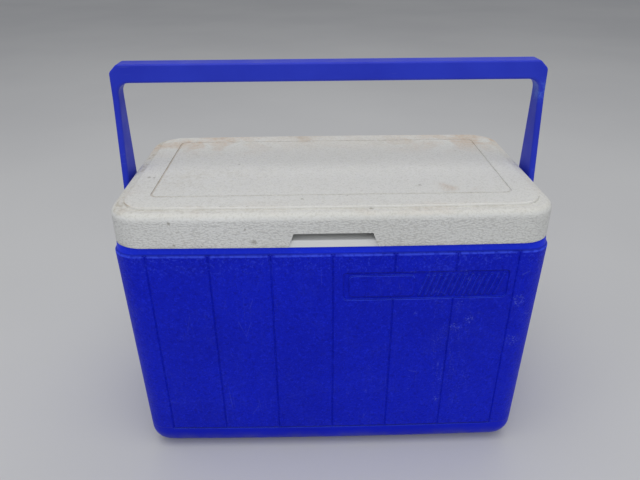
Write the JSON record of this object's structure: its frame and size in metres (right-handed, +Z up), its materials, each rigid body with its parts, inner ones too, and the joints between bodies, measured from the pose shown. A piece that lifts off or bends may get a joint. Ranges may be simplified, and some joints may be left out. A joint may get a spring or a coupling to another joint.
{
  "type": "lunch cooler",
  "caption": "Small hard-sided lunch cooler with panelled walls, grained hinged lid, finger notch, blank badge and swinging bail handle.",
  "frame": {"origin": "middle of the flat base, on the surface the cooler stands on, below the bail's pivot line", "axes": "+Z up, front with the badge and finger notch faces -Y, +X to the right seen from the front"},
  "size_m": [0.4198, 0.2245, 0.3893],
  "materials": {
    "blue_plastic": "pebbled moulded plastic, semi-gloss",
    "bail_plastic": "smooth moulded plastic",
    "lid_plastic": "leather-grained off-white plastic",
    "liner_plastic": "smooth white plastic",
    "hinge_plastic": "off-white flexible plastic",
    "nylon": "natural nylon",
    "foam": "rigid foam",
    "steel": "plated steel"
  },
  "bodies": {
    "root": {"outer_shell": "blue_plastic", "inner_liner": "liner_plastic", "body_insulation": "foam", "hinge_body_screws": "steel", "left_pivot_stud": "bail_plastic", "left_pivot_washer": "nylon", "left_pivot_nut": "steel", "left_hinge_body_leaf": "hinge_plastic", "right_pivot_stud": "bail_plastic", "right_pivot_washer": "nylon", "right_pivot_nut": "steel", "right_hinge_body_leaf": "hinge_plastic"},
    "hinge_link": {"left_hinge_web": "hinge_plastic", "right_hinge_web": "hinge_plastic"},
    "lid": {"lid_cover": "lid_plastic", "lid_liner": "liner_plastic", "lid_insulation": "foam", "hinge_lid_screws": "steel", "left_hinge_lid_leaf": "hinge_plastic", "right_hinge_lid_leaf": "hinge_plastic"},
    "bail": {"bail_handle": "bail_plastic"}
  },
  "joints": [
    {"name": "bail_swing", "type": "hinge", "parent": "root", "child": "bail", "pos_m": [0, 0, 0.205], "axis": [1, 0, 0], "range_deg": [-130, 130]},
    {"name": "hinge_lower_crease", "type": "hinge", "parent": "root", "child": "hinge_link", "pos_m": [0, 0.1109, 0.2466], "axis": [-1, 0, 0], "range_deg": [0, 31]},
    {"name": "hinge_upper_crease", "type": "hinge", "parent": "hinge_link", "child": "lid", "pos_m": [0, 0.1109, 0.2514], "axis": [-1, 0, 0], "range_deg": [0, 31]}
  ]
}
